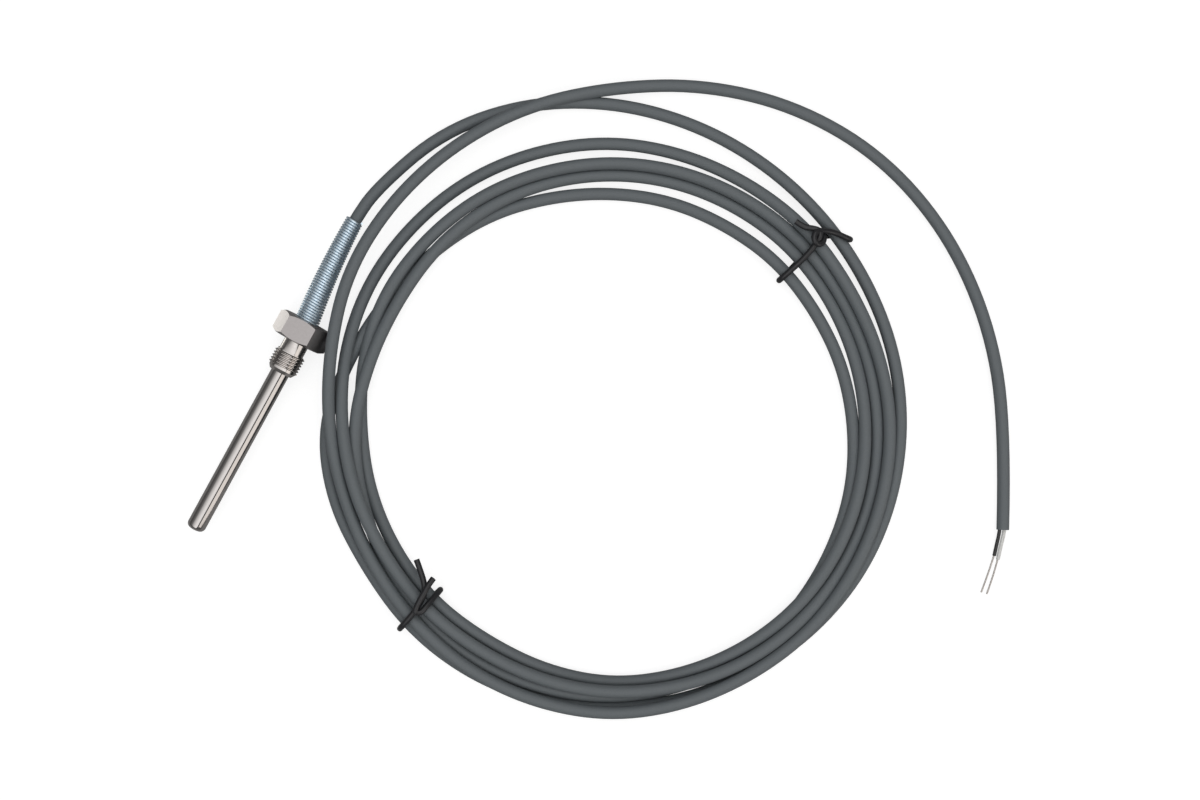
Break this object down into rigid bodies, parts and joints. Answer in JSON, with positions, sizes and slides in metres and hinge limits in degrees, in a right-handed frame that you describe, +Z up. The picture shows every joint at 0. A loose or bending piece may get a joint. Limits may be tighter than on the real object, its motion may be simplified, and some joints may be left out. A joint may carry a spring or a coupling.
{
  "type": "screw-in temperature sensor",
  "caption": "Screw-in temperature sensor: closed metal tube, hexagonal fitting with a fine thread, tapered anti-kink spring and a coiled cable held by twist ties.",
  "frame": {"origin": "centre of the fitting's sealing shoulder, on the sensor's axis", "axes": "-Y along the axis towards the probe's tip, +Y towards the cable, +Z up from the surface that the hexagon lies on, +X towards the coiled cable"},
  "size_m": [0.2415, 0.2152, 0.016],
  "materials": {
    "fitting_steel": "turned, satin to bright",
    "tube_steel": "drawn, bright",
    "spring_steel": "bright drawn wire",
    "cable_jacket": "matt extruded jacket",
    "tie_coating": "smooth coated wire",
    "core_white": "extruded insulation",
    "core_black": "extruded insulation",
    "tinned_copper": "tinned strands",
    "ferrule_metal": "crimped",
    "resin": "cast resin",
    "filler_paste": "cured paste",
    "bead_coating": "dipped coating",
    "splice_metal": "crimped",
    "sleeve_plastic": "shrunk sleeve"
  },
  "bodies": {
    "root": {"screw_fitting": "fitting_steel", "protection_tube": "tube_steel", "kink_spring": "spring_steel", "cable_entry": "cable_jacket", "cable_lead": "cable_jacket", "cable_coil": "cable_jacket", "cable_tail": "cable_jacket", "cable_ferrule": "ferrule_metal", "potting_plug": "resin", "thermistor_bead": "bead_coating", "tip_filler": "filler_paste", "core_white_end": "core_white", "core_black_end": "core_black", "conductor_white_end": "tinned_copper", "conductor_black_end": "tinned_copper", "tie_upper": "tie_coating", "tie_lower": "tie_coating", "core_white_inner": "core_white", "core_black_inner": "core_black", "splice_white": "splice_metal", "splice_black": "splice_metal", "shrink_white": "sleeve_plastic", "shrink_black": "sleeve_plastic", "lead_white": "tinned_copper", "lead_black": "tinned_copper"}
  },
  "joints": []
}
